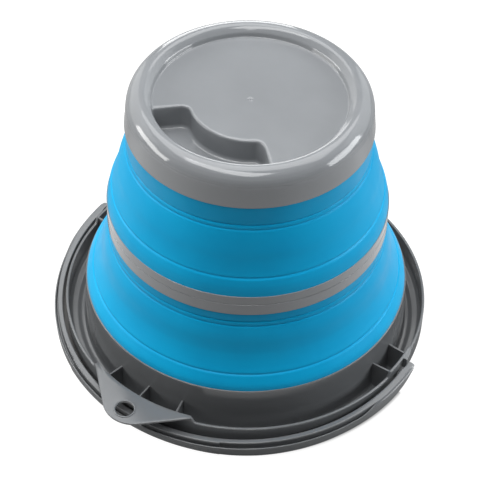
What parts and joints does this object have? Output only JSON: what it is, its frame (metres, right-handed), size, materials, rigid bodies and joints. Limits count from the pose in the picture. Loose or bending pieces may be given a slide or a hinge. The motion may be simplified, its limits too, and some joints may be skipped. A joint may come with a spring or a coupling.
{
  "type": "collapsible camp bucket",
  "caption": "Collapsible bucket standing upside down on its mouth: rigid base, hoop and rim joined by folding soft rings, with a hanging tab and a swinging carrying handle.",
  "frame": {"origin": "on the floor, under the middle of the whole object's outline, with the bucket upside down on its mouth as pictured; the bucket's own axis stands 14.15 mm from it towards +Y", "axes": "+Z from the mouth to the base, +X along the handle's pivot axis, -Y towards the hanging tab and the lowered handle"},
  "size_m": [0.332, 0.3386, 0.2471],
  "materials": {
    "grey_plastic": "satin moulded",
    "rim_plastic": "satin moulded",
    "blue_rubber": "smooth soft"
  },
  "bodies": {
    "rim": {"rim_collar": "rim_plastic", "lower_bellows": "blue_rubber"},
    "mid": {"mid_ring": "grey_plastic", "upper_bellows": "blue_rubber"},
    "base": {"base_cup": "grey_plastic"},
    "handle": {"bail_handle": "rim_plastic"}
  },
  "joints": [
    {"name": "lower_fold", "type": "slide", "parent": "rim", "child": "mid", "axis": [0, 0, -1], "range_m": [0, 0.088], "deforming": ["lower_bellows"]},
    {"name": "upper_fold", "type": "slide", "parent": "mid", "child": "base", "axis": [0, 0, -1], "range_m": [0, 0.085], "deforming": ["upper_bellows"]},
    {"name": "handle_swing", "type": "hinge", "parent": "rim", "child": "handle", "pos_m": [0, 0.01415, 0.0154], "axis": [1, 0, 0], "range_deg": [-4.8, 176]}
  ]
}
